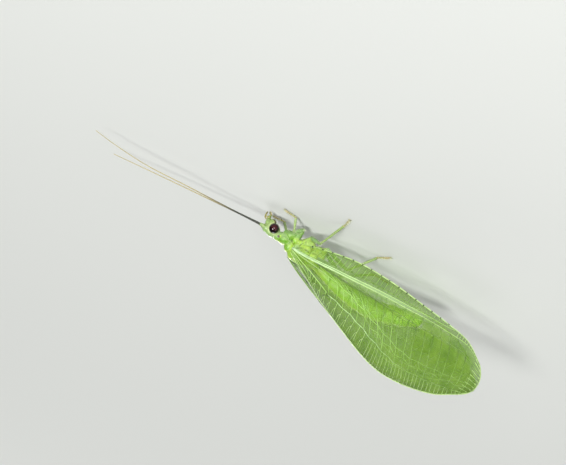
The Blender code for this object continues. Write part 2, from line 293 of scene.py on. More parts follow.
def skin_material(name, roughness, scatter):
    """Waxy skin that takes its markings from the piece's tint attribute."""
    material, shader = new_material(name, LEAF_GREEN, roughness)
    tint = attribute(material, "tint").outputs["Color"]
    mottled(material, shader, tint, scale=5200.0, low=0.86, high=1.12)
    grain = add_noise(material, scale=24000.0, detail=3.0)
    add_bump(material, shader, grain, strength=0.35, distance=0.02 * MM)
    feed(material, shader, {"Subsurface Weight": scatter, "Subsurface Radius": (0.6, 1.0, 0.3),
                            "Subsurface Scale": 0.22 * MM, "Coat Weight": 0.08,
                            "Coat Roughness": 0.35})
    return material


def eye_material():
    """Near-black facets under a clear gloss, with a painted maroon glow where the dome stands out
    furthest.
    """
    material, shader = new_material("eye_facets", EYE_PAINTED_GLOW, roughness=0.22)
    place = own_place(material)
    facets = add_node(material, "ShaderNodeTexVoronoi", {"Vector": place, "Scale": 26000.0})
    add_bump(material, shader, facets.outputs["Distance"], strength=0.12, distance=0.008 * MM)
    parts = add_node(material, "ShaderNodeSeparateXYZ", {"Vector": place})
    outward = add_node(material, "ShaderNodeMath", {0: parts.outputs["Y"]}, operation="ABSOLUTE")
    depth = add_node(material, "ShaderNodeMapRange",
                     {"Value": outward.outputs["Value"],
                      "From Min": (EYE_CENTRE[1] + 0.65 * EYE_RADIUS) * MM,
                      "From Max": (EYE_CENTRE[1] + EYE_RADIUS) * MM})
    # painted maroon glow on the dome's outermost part, near-black towards its rim
    painted_glow = add_ramp(material, depth.outputs["Result"], EYE_BLACK, EYE_PAINTED_GLOW)
    feed(material, shader, {"Base Color": painted_glow, "Specular IOR Level": 0.15, "Coat Weight": 0.5,
                            "Coat Roughness": 0.06})
    return material


def membrane_material(name, cover):
    """Clear green film; cover is how much of the view a face of it hides."""
    material, shader = new_material(name, FILM_LIGHT, roughness=0.5)
    noise = add_noise(material, scale=900.0, detail=3.0)
    green = add_ramp(material, noise, FILM_DEEP, FILM_LIGHT, low_at=0.3, high_at=0.7)
    milky = add_node(material, "ShaderNodeMix", {}, data_type="RGBA")
    feed(material, milky, {"Factor": attribute(material, "paleness").outputs["Fac"],
                           "A": green, "B": (*VEIN_WHITE, 1.0)})
    crinkle = add_noise(material, scale=3500.0, detail=3.0)
    add_bump(material, shader, crinkle, strength=0.18, distance=0.03 * MM)
    hidden = add_node(material, "ShaderNodeMath",
                      {0: attribute(material, "cover").outputs["Fac"], 1: cover}, operation="MULTIPLY")
    feed(material, shader, {"Base Color": milky.outputs["Result"], "Alpha": hidden.outputs["Value"],
                            "IOR": 1.22, "Specular IOR Level": 0.2})
    return material


def vein_material():
    """Horny veins that take their colour from the piece's tint attribute."""
    material, shader = new_material("vein_horn", VEIN_GREEN, roughness=0.4)
    tint = attribute(material, "tint").outputs["Color"]
    mottled(material, shader, tint, scale=2400.0, low=0.85, high=1.15)
    return material


def hair_material():
    material, shader = new_material("pale_bristles", HAIR_PALE, roughness=0.5)
    flat = add_node(material, "ShaderNodeRGB", {})
    flat.outputs[0].default_value = (*HAIR_PALE, 1.0)
    mottled(material, shader, flat.outputs[0], scale=3000.0, low=0.8, high=1.1)
    return material


# Making meshes, in millimetres

def linked(name, data):
    """A new object in the scene that holds the given mesh, curve, light or camera."""
    thing = bpy.data.objects.new(name, data)
    bpy.context.scene.collection.objects.link(thing)
    return thing


def show(mesh, name, material, nodes=()):
    """Place a finished mesh in the frame as a piece that rides on the model."""
    mesh.name = name
    mesh.transform(PLACE)
    mesh.materials.clear()
    mesh.materials.append(material)
    mesh.shade_smooth()
    piece = linked(name, mesh)
    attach(piece, "root")
    if nodes:
        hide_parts(*nodes)
    return piece


def mesh_from(bm, name):
    mesh = bpy.data.meshes.new(name)
    bm.to_mesh(mesh)
    bm.free()
    return mesh


def paint(mesh, tints):
    """Store one colour for each corner point as the mesh's tint."""
    layer = mesh.color_attributes.new("tint", "FLOAT_COLOR", "POINT")
    layer.data.foreach_set("color", tints.ravel())


def read_points(mesh, what):
    """The places or normals of a mesh's corner points, in rows of three."""
    values = np.zeros(len(mesh.vertices) * 3)
    mesh.vertices.foreach_get(what, values)
    return values.reshape(-1, 3)


def evaluated_mesh(thing):
    """The mesh of an object with its modifiers applied; the object is removed."""
    graph = bpy.context.evaluated_depsgraph_get()
    mesh = bpy.data.meshes.new_from_object(thing.evaluated_get(graph), depsgraph=graph)
    bpy.data.objects.remove(thing, do_unlink=True)
    return mesh


def tube_runs(name, runs, rounder=1):
    """One mesh of closed tubes, each run a list of (place, radius, tint)."""
    curve = bpy.data.curves.new(name, "CURVE")
    curve.dimensions = "3D"
    curve.bevel_depth = 1.0
    curve.bevel_resolution = rounder
    curve.resolution_u = 1
    curve.use_fill_caps = False
    tints = []
    for run in runs:
        spline = curve.splines.new("POLY")
        spline.points.add(len(run) - 1)
        for point, (place, radius, tint) in zip(spline.points, run):
            point.co = (*place, 1.0)
            point.radius = radius
            tints.append((*tint, 1.0))
    mesh = evaluated_mesh(linked(name, curve))
    bpy.data.curves.remove(curve)
    corners = len(mesh.vertices) // len(tints)
    paint(mesh, np.repeat(np.array(tints, np.float32), corners, axis=0))
    bm = bmesh.new()
    bm.from_mesh(mesh)
    bmesh.ops.holes_fill(bm, edges=bm.edges, sides=0)
    bm.to_mesh(mesh)
    bm.free()
    return mesh


def add_ring(bm, centre, along, up, half_width, half_height, sides):
    """One elliptical loop across the direction along; returns its edges and corners."""
    along = Vector(along).normalized()
    across = Vector(up).cross(along).normalized()
    upright = along.cross(across).normalized()
    turn = Matrix((across * half_width, upright * half_height, along)).transposed().to_4x4()
    turn.translation = Vector(centre)
    made = bmesh.ops.create_circle(bm, cap_ends=False, segments=sides, radius=1.0, matrix=turn)
    edges = list({edge for vert in made["verts"] for edge in vert.link_edges})
    return edges, made["verts"]


def close_over(bm, loops):
    """Join a row of loops into one closed skin that faces outwards."""
    for front, back in zip(loops, loops[1:]):
        bmesh.ops.bridge_loops(bm, edges=front + back)
    bmesh.ops.holes_fill(bm, edges=bm.edges, sides=0)
    bmesh.ops.recalc_face_normals(bm, faces=bm.faces)


def limb(stations, sides):
    """A closed tube through stations of (place, radius, tint), tinted ring by ring."""
    bm = bmesh.new()
    layer = bm.verts.layers.float_color.new("tint")
    places = [Vector(place) for place, _, _ in stations]
    loops = []
    for index, (_, radius, tint) in enumerate(stations):
        before = places[max(index - 1, 0)]
        after = places[min(index + 1, len(places) - 1)]
        along = (after - before).normalized()
        up = Vector((0.0, 0.0, 1.0)) if abs(along.z) < 0.8 else Vector((1.0, 0.0, 0.0))
        edges, corners = add_ring(bm, places[index], along, up, radius, radius, sides)
        for corner in corners:
            corner[layer] = (*tint, 1.0)
        loops.append(edges)
    close_over(bm, loops)
    return bm


def join_meshes(bms, name):
    """Several closed forms as one mesh, their tints kept."""
    mesh = bpy.data.meshes.new(name)
    whole = bmesh.new()
    for bm in bms:
        part = bpy.data.meshes.new("part")
        bm.to_mesh(part)
        bm.free()
        whole.from_mesh(part)
        bpy.data.meshes.remove(part)
    whole.to_mesh(mesh)
    whole.free()
    return mesh


def patch_map(mesh, places):
    """An OFBake map: each bristle is a small patch at its root's place on the unrolled skin."""
    layer = mesh.uv_layers.new(name="OFBake")
    corners_each = len(mesh.vertices) // len(places)
    values = np.zeros(len(mesh.loops) * 2, np.float32)
    for face in mesh.polygons:
        place = places[min(face.vertices[0] // corners_each, len(places) - 1)]
        around = math.atan2(place[1], place[2] - MAP_AXIS_HEIGHT) / (2.0 * math.pi)
        u = (place[0] - MAP_BACK) / MAP_LENGTH
        v = 0.5 + around * MAP_WRAP
        for corner, loop in enumerate(face.loop_indices):
            values[2 * loop] = u + MAP_PATCH * (corner % 2)
            values[2 * loop + 1] = v + MAP_PATCH * (corner // 2 % 2)
    layer.data.foreach_set("uv", values)


# Body skin

def ball(centre, radii, around=24, upright=16):
    bm = bmesh.new()
    shape = Matrix.Translation(centre) @ Matrix.Diagonal((*radii, 1.0))
    bmesh.ops.create_uvsphere(bm, u_segments=around, v_segments=upright, radius=1.0, matrix=shape)
    return bm


def on_side(places, sign):
    """Places given with y positive, on the right or the left side."""
    return [Vector((x, sign * y, z)) for x, y, z in places]


# Swellings of the body as (centre, radii): those on the middle line, then the pairs beside it
HEAD_BALLS = [
    ((0.46, 0, 1.4), (0.64, 0.52, 0.58)),
    ((0.24, 0, 1.65), (0.48, 0.5, 0.31)),
    ((0.92, 0, 1.45), (0.36, 0.38, 0.4)),
    ((1.00, 0, 0.98), (0.24, 0.32, 0.36)),
    ((1.1, 0, 0.62), (0.15, 0.23, 0.24)),
    ((-0.24, 0, 1.66), (0.52, 0.42, 0.4)),
]
HEAD_PAIRS = [
    ((0.66, 0.34, 1.08), (0.32, 0.2, 0.42)),
    ((1.06, 0.12, 0.44), (0.09, 0.1, 0.16)),
    ((1.1, 0.24, 1.5), (0.14, 0.15, 0.15)),
]
THORAX_BALLS = [
    ((-0.72, 0, 1.77), (0.62, 0.57, 0.36)),
    ((-0.72, 0, 1.56), (0.6, 0.53, 0.46)),
    ((-1.32, 0, 2.06), (0.42, 0.5, 0.49)),
    ((-1.85, 0, 2.42), (0.5, 0.66, 0.52)),
    ((-2.8, 0, 2.68), (0.44, 0.42, 0.27)),
    ((-2.5, 0, 1.5), (0.85, 0.6, 0.58)),
    ((-3.1, 0, 2.2), (0.6, 0.62, 0.55)),
    ((-3.96, 0, 2.7), (0.4, 0.4, 0.24)),
    ((-3.65, 0, 1.68), (0.62, 0.5, 0.38)),
    ((-4.35, 0, 2.62), (0.5, 0.42, 0.5)),
]
THORAX_PAIRS = [
    ((-0.86, 0.3, 1.26), (0.46, 0.24, 0.36)),
    ((-1.6, 0.34, 1.42), (0.3, 0.26, 0.3)),
    ((-2.28, 0.38, 2.55), (0.64, 0.48, 0.37)),
    ((-2.05, 0.52, 1.95), (0.46, 0.36, 0.66)),
    ((-2.68, 0.5, 1.9), (0.42, 0.36, 0.62)),
    ((-2.62, 0.42, 1.28), (0.58, 0.3, 0.4)),
    ((-3.62, 0.4, 1.52), (0.56, 0.3, 0.44)),
    ((-3.55, 0.32, 2.57), (0.54, 0.44, 0.32)),
    ((-3.42, 0.46, 2.05), (0.38, 0.32, 0.56)),
    ((-3.92, 0.42, 2.08), (0.36, 0.3, 0.54)),
]
HIP_PAIRS = [
    ((-1.55, 0.5, 1.02), (0.33, 0.2, 0.36)),
    ((-1.71, 0.57, 0.72), (0.21, 0.16, 0.27)),
]
TAIL_BALLS = [((-12.68, 0, 3.00), (0.46, 0.4, 0.42))]
TAIL_PAIRS = [((-12.82, 0.13, 2.88), (0.3, 0.18, 0.24))]


def swellings(balls, pairs):
    """Balls on the middle line, and a mirrored pair for each of the others."""
    forms = [ball(*shape) for shape in balls]
    for centre, radii in pairs:
        forms += [ball(*on_side([centre], sign), radii) for sign in SIDES.values()]
    return forms


# Coxae: top and bottom of each pair, y positive on both sides, and their taper
HIPS = [
    ((-0.92, 0.36, 1.46), (-1.74, 0.6, 0.54)),
    ((-2.38, 0.4, 1.4), (-2.6, 0.56, 0.82)),
    ((-3.8, 0.38, 1.5), (-4.12, 0.5, 1.07)),
]
HIP_PROFILE = [(0.0, 0.4), (0.35, 0.34), (0.75, 0.22), (0.97, 0.15), (1.05, 0.08)]


def rings(start, end, girth, profile, tint):
    """Stations from start to end, each a share of the way and of the girth."""
    return [(start.lerp(end, share), girth * width, tint) for share, width in profile]


def hip_forms():
    """Coxae: short tapering cones under each ring of the thorax."""
    forms = []
    for ends in HIPS:
        for sign in SIDES.values():
            top, bottom = on_side(ends, sign)
            forms.append(limb(rings(top, bottom, 1.0, HIP_PROFILE, PALE_GREEN), sides=12))
    return forms + swellings([], HIP_PAIRS)


def abdomen_form():
    """Nine swollen rings on a bowed middle line, each tucked into the one before."""
    bm = bmesh.new()
    loops = []
    steps = LOOPS_IN_SEGMENT * ABDOMEN_SEGMENTS
    for index in range(steps + 1):
        t = index / steps
        x = ABDOMEN_FRONT + (ABDOMEN_BACK - ABDOMEN_FRONT) * t
        slope = through(ABDOMEN_RISE, x - 0.2) - through(ABDOMEN_RISE, x + 0.2)
        phase = (index % LOOPS_IN_SEGMENT) / LOOPS_IN_SEGMENT
        swell = 0.955 + 0.06 * math.sin(math.pi * min(1.0, phase * 1.08)) ** 0.45
        half_width = through(ABDOMEN_HALF_WIDTH, x) * swell
        centre = (x, 0.0, through(ABDOMEN_RISE, x))
        along = (-0.4, 0, slope)
        edges, _ = add_ring(bm, centre, along, (0, 0, 1), half_width, half_width * 1.08, 32)
        loops.append(edges)
    close_over(bm, loops)
    return bm


# Sutures: grooves pressed into the thorax and head, as courses of (x, y, z) on the right side
SUTURES = [
    [(-1.45, -0.3, 2.55), (-1.62, -0.62, 2.2), (-1.66, -0.7, 1.8), (-1.62, -0.62, 1.4)],
    [(-2.4, -0.6, 2.5), (-2.36, -0.88, 2.1), (-2.4, -0.86, 1.7), (-2.46, -0.6, 1.25)],
    [(-1.75, -0.85, 2.25), (-2.1, -0.88, 2.05), (-2.4, -0.86, 1.95), (-2.95, -0.8, 2.05)],
    [(-3.05, -0.5, 2.55), (-3.06, -0.7, 2.15), (-3.06, -0.7, 1.75), (-3.04, -0.5, 1.35)],
    [(-3.66, -0.5, 2.6), (-3.66, -0.74, 2.2), (-3.68, -0.7, 1.8), (-3.74, -0.5, 1.45)],
    [(-2.42, -0.84, 1.62), (-2.72, -0.82, 1.5), (-3.04, -0.72, 1.56)],
    [(-2.02, -0.86, 1.92), (-2.12, -0.84, 1.62), (-2.36, -0.78, 1.36)],
    [(-3.1, -0.72, 2.02), (-3.36, -0.74, 1.92), (-3.66, -0.72, 1.98)],
    [(-1.95, -0.02, 2.95), (-2.2, -0.14, 2.92), (-2.55, -0.2, 2.88), (-2.8, -0.34, 2.8)],
    [(-2.52, -0.02, 2.93), (-2.62, -0.28, 2.86), (-2.9, -0.42, 2.72), (-3.1, -0.46, 2.55)],
    [(-0.4, -0.3, 2.16), (-0.75, -0.36, 2.19), (-1.1, -0.34, 2.14)],
    [(0.62, -0.52, 1.12), (0.86, -0.34, 0.9), (1.02, -0.22, 0.7)],
    [(0.8, -0.02, 1.82), (0.98, -0.2, 1.7), (1.1, -0.36, 1.42)],
]
SUTURE_DEPTH = 0.05
SUTURE_WIDTH = 0.05

# Markings, y positive on both sides: spots with their reach, the cheek's streak, the wing's root
SPOTS = [
    ((-0.32, 0.43, 1.73), 0.075, YELLOW_GREEN),
    ((-0.2, 0.42, 1.8), 0.1, MARK_BROWN),
    ((0.5, 0.46, 0.86), 0.07, MARK_BROWN),
    ((0.3, 0.5, 0.98), 0.05, MARK_BROWN),
]
CHEEK_STREAK = [(0.42, 0.5, 0.95), (0.75, 0.4, 0.72), (1.0, 0.24, 0.56)]
WING_SOCKET = (-1.9, 0.72, 2.15)
EYE_RIM_RADIUS = 0.46
FLANK_SEAM_DROP = 0.22


def distance_to(points, course):
    """Least distance of each point, as an array, from a run of stretches."""
    best = np.full(len(points), 1e9)
    course = [np.array(corner) for corner in course]
    for start, end in zip(course, course[1:]):
        stretch = end - start
        t = np.clip((points - start) @ stretch / (stretch @ stretch), 0.0, 1.0)
        nearest = start + t[:, None] * stretch
        best = np.minimum(best, np.linalg.norm(points - nearest, axis=1))
    return best


def mix_tints(tints, colour, share):
    """Rows of colours, each drawn towards one colour by its own share."""
    return tints + (np.array(colour) - tints) * np.clip(share, 0.0, 1.0)[:, None]


def paint_skin(points, normals, groove):
    """Markings by place, with painted shade in the grooves, on the front hips and low on the thorax and
    painted light on the tail end, each a wash of colour with its share, laid over those before it.
    """
    x, y, z = points.T
    side = np.abs(y)
    mirrored = np.stack([x, side, z], 1)
    upward = normals[:, 2]
    back = smooth_step(-0.2, 0.7, upward)
    head = smooth_step(-0.25, 0.15, x)
    pronotum = smooth_step(-1.55, -1.1, x)
    thorax = smooth_step(-4.9, -3.9, x)
    behind = thorax * smooth_step(-1.9, -2.3, x)
    shaded_low = smooth_step(1.55, 1.3, z)
    flank = smooth_step(1.55, 1.8, z) * smooth_step(2.5, 2.2, z)
    hip = smooth_step(1.5, 1.2, z) * smooth_step(-1.98, -1.84, x)
    socket = smooth_step(0.46, 0.12, np.linalg.norm(mirrored - WING_SOCKET, axis=1))
    stripe = hump(y, 0.0, 0.16) * smooth_step(0.3, 0.7, upward) * smooth_step(0.1, -0.5, x)
    from_eye = np.hypot(x - EYE_CENTRE[0], z - EYE_CENTRE[2])
    rim = hump(from_eye, EYE_RIM_RADIUS, 0.06) * head * (side > 0.3)
    washes = [
        (PALE_GREEN, smooth_step(0.1, -0.8, upward) * 0.45),
        (YELLOW_GREEN, thorax * 0.6),
        # painted shade low on the mid and hind thorax
        (LOW_THORAX_SHADE, behind * shaded_low * 0.9),
        (FLANK_YELLOW, behind * flank * 0.7),
        (LEAF_GREEN, 0.55 * thorax * back),
        (PALE_GREEN, pronotum * smooth_step(0.55, -0.2, upward) * 0.9),
        (LEAF_GREEN, pronotum * back * 0.9),
        # painted shade on the front hips
        (HIP_SHADE_GREEN, hip * 0.95),
        (CREAM_GREEN, head * 0.9),
        (PALE_GREEN, head * back * 0.5),
        (VEIN_WHITE, socket * 0.75),
        (STRIPE_YELLOW, stripe * 0.5),
        (EYE_RIM, rim * 0.5),
        # painted shade in the sutures' grooves and along the abdomen's side seam
        (JOINT_AND_GROOVE_SHADE, groove * 0.95),
    ]
    for spot, reach, colour in SPOTS:
        away = np.linalg.norm(mirrored - spot, axis=1)
        washes.append((colour, smooth_step(reach * 1.5, reach * 0.7, away)))
    cheek = smooth_step(0.11, 0.04, distance_to(mirrored, CHEEK_STREAK))
    mouth = smooth_step(0.52, 0.38, z) * smooth_step(0.8, 0.95, x)
    washes += [
        (MARK_BROWN, cheek * 0.85),
        (MOUTH_BROWN, mouth * 0.8),
        (ABDOMEN_GREEN, smooth_step(-4.2, -5.2, x) * (1.0 - 0.7 * stripe) * 0.8),
        # painted light on the abdomen's tapering end, against its own shading
        (TAIL_PAINTED_LIGHT, smooth_step(-9.5, -12.3, x) * 0.6),
        # painted shade in the folds between the abdomen's rings
        (LEAF_GREEN, abdomen_rings(x) * smooth_step(-4.4, -4.9, x) * 0.6),
    ]
    tints = np.tile(np.array(YELLOW_GREEN), (len(points), 1))
    for colour, share in washes:
        tints = mix_tints(tints, colour, share)
    return tints


def abdomen_rings(x):
    """1 in the folds between the abdomen's rings, 0 elsewhere."""
    phase = np.mod((ABDOMEN_FRONT - x) / (ABDOMEN_FRONT - ABDOMEN_BACK) * ABDOMEN_SEGMENTS, 1.0)
    return hump(np.minimum(phase, 1.0 - phase), 0.0, 0.06)


def remeshed(bms):
    """Overlapping forms drawn together into one even surface."""
    thing = linked("forms", join_meshes(bms, "forms"))
    remesh = thing.modifiers.new("blend", "REMESH")
    remesh.mode = "VOXEL"
    remesh.voxel_size = SKIN_VOXEL
    relax = thing.modifiers.new("relax", "SMOOTH")
    relax.factor = 0.6
    relax.iterations = SKIN_SMOOTHING
    return evaluated_mesh(thing)


def body_skin(material, bristles):
    """One skin over head, thorax, hips and abdomen, with its grooves pressed in and painted."""
    forms = swellings(HEAD_BALLS, HEAD_PAIRS) + swellings(THORAX_BALLS, THORAX_PAIRS)
    forms += hip_forms() + [abdomen_form()] + swellings(TAIL_BALLS, TAIL_PAIRS)
    mesh = remeshed(forms)
    points = read_points(mesh, "co")
    normals = read_points(mesh, "normal")
    mirrored = points.copy()
    mirrored[:, 1] = -np.abs(mirrored[:, 1])
    groove = np.zeros(len(points))
    for course in SUTURES:
        groove = np.maximum(groove, hump(distance_to(mirrored, course), 0.0, SUTURE_WIDTH))
    x, _, z = points.T
    fold = abdomen_rings(x) * smooth_step(-4.6, -5.0, x) * 0.9
    seam = np.array([through(ABDOMEN_RISE, place) - FLANK_SEAM_DROP for place in x])
    flank = hump(z, seam, 0.05) * smooth_step(-4.9, -5.4, x) * (np.abs(normals[:, 1]) > 0.5)
    depth = SUTURE_DEPTH * np.maximum(groove, np.maximum(fold, 0.7 * flank))
    points = points - normals * depth[:, None]
    # the grooves and the abdomen's side seam are passed on for painted shade
    tints = paint_skin(points, normals, np.maximum(groove, flank * 0.5))
    mesh.vertices.foreach_set("co", points.ravel())
    paint(mesh, np.concatenate([tints, np.ones((len(points), 1))], axis=1))
    coat(mesh, "body_bristles", BODY_BRISTLES, BODY_BRISTLE_LENGTH, BODY_SEED, bristles,
         lambda root: root.x < BRISTLES_BEHIND)
    return show(mesh, "body_skin", material,
                ["head", "prothorax", "mesothorax", "metathorax", "abdomen"])


# Eyes

def eyes(material):
    for side, sign in SIDES.items():
        bm = bmesh.new()
        shape = (Matrix.Translation(*on_side([EYE_CENTRE], sign)) @ Matrix.Rotation(math.pi / 2, 4, "X")
                 @ Matrix.Diagonal((EYE_RADIUS, EYE_RADIUS, EYE_RADIUS * 0.98, 1.0)))
        bmesh.ops.create_icosphere(bm, subdivisions=5, radius=1.0, matrix=shape)
        show(mesh_from(bm, "eye"), f"eye_dome_{side}", material, [f"eye_{side}"])


# Feelers

FEELER_COURSE = {
    "right": [(1.12, 0.24, 1.52), (1.6, 0.29, 1.46), (4.0, 0.55, 1.53), (8.0, 0.95, 1.52),
              (11.5, 1.35, 1.55), (14.4, 1.62, 1.25), (16.3, 1.78, 0.92)],
    "left": [(1.12, 0.24, 1.48), (1.6, 0.29, 1.36), (4.0, 0.55, 1.22), (8.0, 0.95, 1.09),
             (11.5, 1.35, 0.98), (14.4, 1.7, 0.9)],
}
# The two thick joints at a feeler's root: distance along it, radius and colour
FEELER_ROOT = [
    (0.0, 0.09, CREAM_GREEN), (0.03, 0.125, CREAM_GREEN), (0.1, 0.145, CREAM_GREEN),
    (0.22, 0.14, CREAM_GREEN), (0.28, 0.095, PALE_GREEN), (0.3, 0.08, PALE_GREEN),
    (0.33, 0.1, CREAM_GREEN), (0.41, 0.1, CREAM_GREEN), (0.45, 0.066, FEELER_DARK),
]
LASH_START = 0.47
LASH_RINGS = 86
LASH_ROOT_RADIUS = 0.058
LASH_TIP_RADIUS = 0.028


def feelers(material):
    """A pair of feelers: two thick joints, then a lash of many short rings."""
    for side, sign in SIDES.items():
        line = curve_through(on_side(FEELER_COURSE[side], sign), steps=60)
        lengths = [0.0]
        for start, end in zip(line, line[1:]):
            lengths.append(lengths[-1] + (end - start).length)

        def at(distance):
            index = 0
            while index < len(line) - 2 and lengths[index + 1] < distance:
                index += 1
            share = (distance - lengths[index]) / (lengths[index + 1] - lengths[index])
            return line[index].lerp(line[index + 1], share)

        stations = [(at(distance), radius, tint) for distance, radius, tint in FEELER_ROOT]
        reach = (lengths[-1] - LASH_START) / LASH_RINGS
        for ring in range(LASH_RINGS):
            share = ring / LASH_RINGS
            near = LASH_START + ring * reach
            radius = LASH_ROOT_RADIUS + (LASH_TIP_RADIUS - LASH_ROOT_RADIUS) * share
            tint = blend_tint(FEELER_DARK, STRAW, (share - 0.14) / 0.26)
            joint = blend_tint(tint, FEELER_DARK, 0.45)
            stations += [(at(near), radius * 0.8, joint), (at(near + reach * 0.14), radius, tint),
                         (at(near + reach * 0.86), radius * 1.03, tint)]
        stations.append((at(lengths[-1] - 1e-3), LASH_TIP_RADIUS * 0.5, STRAW))
        show(mesh_from(limb(stations, sides=10), "feeler"), f"feeler_{side}", material,
             [f"antenna_{side}"])


# Mouthparts

# Joints of the palps, y positive on both sides, and their girth
PALPS = [
    ([(1.02, 0.2, 0.62), (1.18, 0.27, 0.7), (1.36, 0.28, 0.7), (1.46, 0.24, 0.54),
      (1.44, 0.2, 0.38), (1.37, 0.17, 0.24)], 0.052),
    ([(1.00, 0.1, 0.4), (1.06, 0.17, 0.3), (1.16, 0.18, 0.22), (1.27, 0.13, 0.19)], 0.042),
]
PALP_JOINT_PROFILE = [(0.12, 0.8), (0.3, 1.0), (0.8, 1.1), (0.96, 0.75)]
PALP_END_PROFILE = [(0.12, 0.8), (0.3, 1.0), (0.8, 0.7), (0.96, 0.3)]


def palps(material):
    """Two jointed pairs of palps that hang beside the mouth."""
    forms = []
    for sign in SIDES.values():
        for course, girth in PALPS:
            joints = on_side(course, sign)
            stations = [(joints[0], girth * 0.7, PALE_GREEN)]
            for index, (start, end) in enumerate(zip(joints, joints[1:])):
                tint = blend_tint(PALP_OLIVE, MARK_BROWN, 0.7 * index / (len(joints) - 1))
                profile = PALP_END_PROFILE if index == len(joints) - 2 else PALP_JOINT_PROFILE
                stations += rings(start, end, girth, profile, tint)
            forms.append(limb(stations, sides=10))
    show(join_meshes(forms, "palps"), "palps", material)


# Legs: coxa end, knee, ankle and tip of the foot, y positive on both sides
LEGS = {
    "leg_front_right": [(-1.76, 0.61, 0.52), (-1.15, 0.96, 1.1), (-0.8, 1.52, 0.16), (0.2, 1.85, 0.1)],
    "leg_front_left": [(-1.76, 0.61, 0.52), (-0.98, 1.05, 1.25), (-0.12, 0.64, 0.16), (0.8, 0.84, 0.1)],
    "leg_middle_right": [(-2.6, 0.56, 0.8), (-3.4, 1.98, 1.4), (-4.46, 4.95, 0.16), (-4.6, 6.38, 0.1)],
    "leg_middle_left": [(-2.6, 0.56, 0.8), (-3.1, 2.02, 1.4), (-3.75, 4.8, 0.16), (-3.7, 6.18, 0.1)],
    "leg_hind_right": [(-4.12, 0.5, 1.05), (-6.2, 1.03, 2.1), (-7.95, 1.35, 0.16), (-8.8, 2.45, 0.1)],
    "leg_hind_left": [(-4.12, 0.5, 1.05), (-6.05, 1.03, 2.1), (-8.35, 2.9, 0.16), (-9.65, 3.55, 0.1)],
}
THIGH_RADIUS = 0.155
SHANK_RADIUS = 0.092
FOOT_RADIUS = 0.062
THIGH_PROFILE = [(0.12, 0.86), (0.25, 1.0), (0.5, 1.0), (0.75, 0.86), (0.92, 0.72)]
SHANK_PROFILE = [(0.03, 0.8), (0.06, 1.0), (0.15, 0.86), (0.35, 0.92), (0.6, 1.08), (0.85, 1.05),
                 (0.97, 1.12)]
FOOT_JOINTS = [0.0, 0.36, 0.54, 0.7, 0.83, 1.0]
FOOT_PROFILE = [(0.12, 0.78), (0.3, 0.95), (0.82, 1.15)]
CLAW_RADII = [0.026, 0.024, 0.021, 0.017, 0.013, 0.009, 0.004]


def leg_stations(hip, knee, ankle, tip):
    """Rings of one leg: trochanter, thigh, shank, then five foot joints."""
    thigh_tint = blend_tint(PALE_GREEN, LEAF_GREEN, 0.15)
    knee_tint = blend_tint(thigh_tint, JOINT_AND_GROOVE_SHADE, 0.5)
    stations = [
        (hip + (hip - knee).normalized() * 0.08, 0.1, PALE_GREEN), (hip, 0.155, PALE_GREEN),
        (hip.lerp(knee, 0.06), 0.15, PALE_GREEN), (hip.lerp(knee, 0.09), 0.12, JOINT_AND_GROOVE_SHADE),
    ]
    stations += rings(hip, knee, THIGH_RADIUS, THIGH_PROFILE, thigh_tint)
    stations += rings(hip, knee, THIGH_RADIUS, [(0.97, 0.62)], knee_tint)
    stations.append((knee, THIGH_RADIUS * 0.58, thigh_tint))
    stations += rings(knee, ankle, SHANK_RADIUS, SHANK_PROFILE, CREAM_GREEN)
    stations += rings(knee, ankle, SHANK_RADIUS, [(0.995, 0.75)], FOOT_BROWN)
    foot_tint = blend_tint(CREAM_GREEN, FOOT_BROWN, 0.45)
    for joint, (near, far) in enumerate(zip(FOOT_JOINTS, FOOT_JOINTS[1:])):
        tint = blend_tint(foot_tint, FOOT_BROWN, joint / 4)
        span = far - near
        profile = [(near + span * share, width) for share, width in FOOT_PROFILE]
        stations += rings(ankle, tip, FOOT_RADIUS, profile, tint)
        stations += rings(ankle, tip, FOOT_RADIUS, [(near + span * 0.98, 0.8)],
                          blend_tint(tint, MARK_BROWN, 0.15))
    return stations


def claws(tip, along):
    """A pair of hooked claws with a pad between them."""
    across = Vector((0, 0, 1)).cross(along).normalized()
    sunk = Vector((0, 0, 0.045))
    forms = []
    for sign in (-1.0, 1.0):
        root = tip + across * (0.03 * sign)
        course = [root, root + along * 0.07 + across * (0.05 * sign) + Vector((0, 0, 0.01)),
                  root + along * 0.12 + across * (0.075 * sign) - sunk]
        hook = zip(curve_through(course, steps=3), CLAW_RADII)
        forms.append(limb([(place, radius, MARK_BROWN) for place, radius in hook], sides=8))
    pad = ball(tip + along * 0.06 - sunk, (0.06, 0.06, 0.03), around=12, upright=8)
    layer = pad.verts.layers.float_color.new("tint")
    for corner in pad.verts:
        corner[layer] = (*FOOT_BROWN, 1.0)
    forms.append(pad)
    return forms


def legs(material, bristles):
    for order, (name, course) in enumerate(LEGS.items()):
        sign = SIDES[name.rsplit("_", 1)[1]]
        hip, knee, ankle, tip = on_side(course, sign)
        forms = [limb(leg_stations(hip, knee, ankle, tip), sides=14)]
        forms += claws(tip, (tip - ankle).normalized())
        mesh = join_meshes(forms, name)
        for vert in mesh.vertices:
            vert.co.z = max(vert.co.z, FLOOR_GAP)
        coat(mesh, f"{name}_bristles", LEG_BRISTLES, LEG_BRISTLE_LENGTH, LEG_SEED + order,
             bristles)
        show(mesh, f"{name}_limb", material, [name])


# Wings

